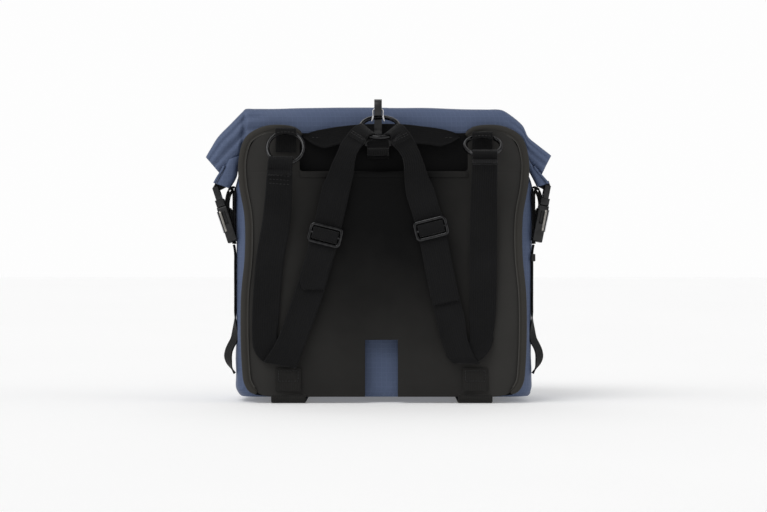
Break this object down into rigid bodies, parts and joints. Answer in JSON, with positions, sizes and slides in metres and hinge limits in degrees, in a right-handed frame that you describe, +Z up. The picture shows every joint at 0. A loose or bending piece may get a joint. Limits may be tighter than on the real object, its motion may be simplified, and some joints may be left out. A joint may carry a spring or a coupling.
{
  "type": "pannier bag",
  "caption": "Roll-top waterproof bicycle bag with a carrier sleeve on its back, side release buckles, and a strap harness that gathers at a top hook.",
  "frame": {"origin": "centre of the whole bag's box, on the plane that the base straps rest on", "axes": "+X to the right as one faces the harness, +Y from the harness towards the front of the bag, +Z up"},
  "size_m": [0.3682, 0.2251, 0.3244],
  "materials": {
    "blue_fabric": "coated ripstop, semi-matt",
    "black_panel": "smooth welded film, soft sheen",
    "webbing": "woven, matt",
    "black_plastic": "moulded, fine grain",
    "dark_metal": "gunmetal plate, glossy",
    "bright_metal": "polished plate",
    "stiff_board": "plain sheet"
  },
  "bodies": {
    "bag": {"bag_body": "blue_fabric", "base_board": "stiff_board", "back_stiffener": "stiff_board", "back_liner": "black_panel", "sleeve_panel": "black_panel", "hook_tab": "webbing", "strap_keeper": "black_plastic", "edge_welt_left": "black_panel", "edge_welt_right": "black_panel", "base_strap_left": "webbing", "base_strap_right": "webbing", "strap_patch_left": "webbing", "strap_patch_right": "webbing", "ring_tab_left": "webbing", "ring_tab_right": "webbing", "strap_top_left": "webbing", "strap_top_right": "webbing", "buckle_female_left": "black_plastic", "buckle_female_right": "black_plastic", "buckle_plate_left": "bright_metal", "buckle_plate_right": "bright_metal", "side_strap_left": "webbing", "side_strap_right": "webbing"},
    "roll": {"roll_top": "blue_fabric", "roll_stiffener": "stiff_board", "roll_collar": "blue_fabric"},
    "roll_end_left": {"roll_ear_left": "blue_fabric", "buckle_webbing_left": "webbing", "buckle_male_left": "black_plastic"},
    "roll_end_right": {"roll_ear_right": "blue_fabric", "buckle_webbing_right": "webbing", "buckle_male_right": "black_plastic"},
    "handle": {"carry_handle": "webbing"},
    "hook": {"hook_body": "black_plastic"},
    "gate": {"hook_gate": "bright_metal"},
    "ring": {"centre_ring": "dark_metal", "ring_loop_left": "webbing", "ring_loop_right": "webbing"},
    "harness_left": {"side_ring_left": "dark_metal", "side_loop_left": "webbing", "strap_outer_left": "webbing", "strap_inner_left": "webbing", "strap_tail_left": "webbing"},
    "harness_right": {"side_ring_right": "dark_metal", "side_loop_right": "webbing", "strap_outer_right": "webbing", "strap_inner_right": "webbing", "strap_tail_right": "webbing"},
    "glide_left": {"triglide_left": "dark_metal", "glide_webbing_left": "webbing"},
    "glide_right": {"triglide_right": "dark_metal", "glide_webbing_right": "webbing"}
  },
  "joints": [
    {"name": "roll_lift", "type": "slide", "parent": "bag", "child": "roll", "axis": [0, 0, 1], "range_m": [0, 0.12], "deforming": ["roll_collar"]},
    {"name": "roll_end_left", "type": "slide", "parent": "roll", "child": "roll_end_left", "axis": [-1, 0, 0], "range_m": [0, 0.0395]},
    {"name": "roll_end_right", "type": "slide", "parent": "roll", "child": "roll_end_right", "axis": [1, 0, 0], "range_m": [0, 0.024]},
    {"name": "handle_swing", "type": "hinge", "parent": "bag", "child": "handle", "pos_m": [-0.002, -0.0537, 0.287], "axis": [-1, 0, 0], "range_deg": [0, 45]},
    {"name": "hook_tilt", "type": "hinge", "parent": "bag", "child": "hook", "pos_m": [-0.006, -0.0785, 0.2766], "axis": [1, 0, 0], "range_deg": [-3, 3]},
    {"name": "hook_gate", "type": "hinge", "parent": "hook", "child": "gate", "pos_m": [-0.006, -0.0855, 0.3006], "axis": [-1, 0, 0], "range_deg": [0, 25], "stiffness_Nm_per_rad": 0.004},
    {"name": "ring_tilt", "type": "hinge", "parent": "bag", "child": "ring", "pos_m": [-0.0039, -0.0931, 0.294], "axis": [1, 0, 0], "range_deg": [-5, 5]},
    {"name": "harness_left", "type": "hinge", "parent": "bag", "child": "harness_left", "pos_m": [-0.1045, -0.069, 0.2899], "axis": [-1, 0, 0], "range_deg": [0, 40]},
    {"name": "harness_right", "type": "hinge", "parent": "bag", "child": "harness_right", "pos_m": [0.1053, -0.069, 0.2859], "axis": [-1, 0, 0], "range_deg": [0, 40]},
    {"name": "glide_left", "type": "slide", "parent": "harness_left", "child": "glide_left", "axis": [0.2419, 0, 0.9703], "range_m": [-0.02, 0.02]},
    {"name": "glide_right", "type": "slide", "parent": "harness_right", "child": "glide_right", "axis": [-0.2419, 0, 0.9703], "range_m": [-0.02, 0.02]}
  ],
  "couplings": [
    {"joint": "roll_end_left", "follows": "roll_lift", "ratio": 0.32492},
    {"joint": "roll_end_right", "follows": "roll_lift", "ratio": 0.19438}
  ]
}
